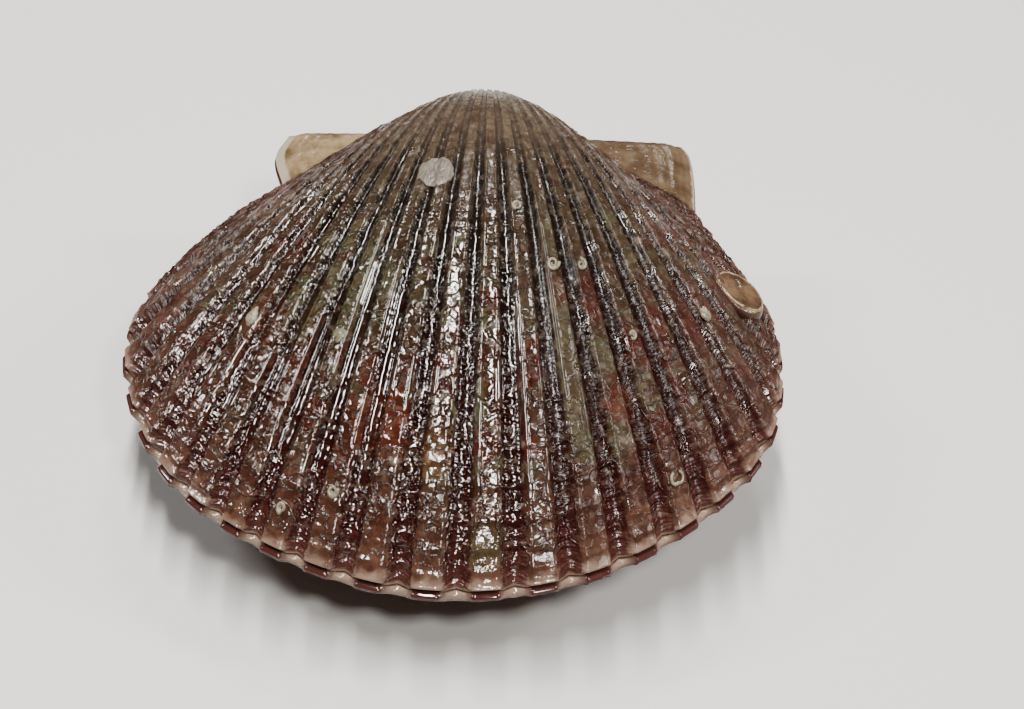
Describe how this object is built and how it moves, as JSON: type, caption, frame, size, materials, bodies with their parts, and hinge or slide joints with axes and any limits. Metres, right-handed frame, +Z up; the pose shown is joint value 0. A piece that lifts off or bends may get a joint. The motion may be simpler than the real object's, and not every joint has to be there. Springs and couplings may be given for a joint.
{
  "type": "scallop shell",
  "caption": "Closed ribbed scallop shell lying on its lower valve, hinged along its straight ears, with small worm tubes and crusts on the upper valve.",
  "frame": {"origin": "on the ground under the middle of the shell's bounding box", "axes": "+X along the hinge line, towards the ear on the picture's right; -Y towards the front margin; +Z up, out of the upper valve. The shell lies tipped 6.4 degrees forwards and 1.7 degrees sideways, as it balances."},
  "size_m": [0.081, 0.0774, 0.0359],
  "materials": {
    "shell_upper": "wet, ribbed and scaly calcite, maroon and grey-brown",
    "shell_lower": "wet, ribbed calcite, pale pink-grey",
    "ligament": "matt horny brown",
    "resilium": "dark, smooth and elastic",
    "crust_amber": "wet, amber and horny, with a pale rim",
    "crust_grey": "grey-beige lime crust",
    "tube_chalk": "chalky lime"
  },
  "bodies": {
    "lower": {"lower_valve": "shell_lower", "hinge_ligament": "ligament", "resilium": "resilium"},
    "upper": {"upper_valve": "shell_upper", "amber_ring_crust": "crust_amber", "grey_crust_patch": "crust_grey", "worm_tube_1": "tube_chalk", "worm_tube_2": "tube_chalk", "worm_tube_3": "tube_chalk", "worm_tube_4": "tube_chalk", "worm_tube_5": "tube_chalk", "worm_tube_6": "tube_chalk", "white_lump": "tube_chalk", "side_lump": "tube_chalk", "green_lump": "crust_grey", "margin_crust": "tube_chalk"}
  },
  "joints": [
    {"name": "valve_hinge", "type": "hinge", "parent": "lower", "child": "upper", "pos_m": [0.00333, 0.03735, 0.01937], "axis": [-0.9996, 0.0033, -0.0298], "range_deg": [0, 20]}
  ]
}
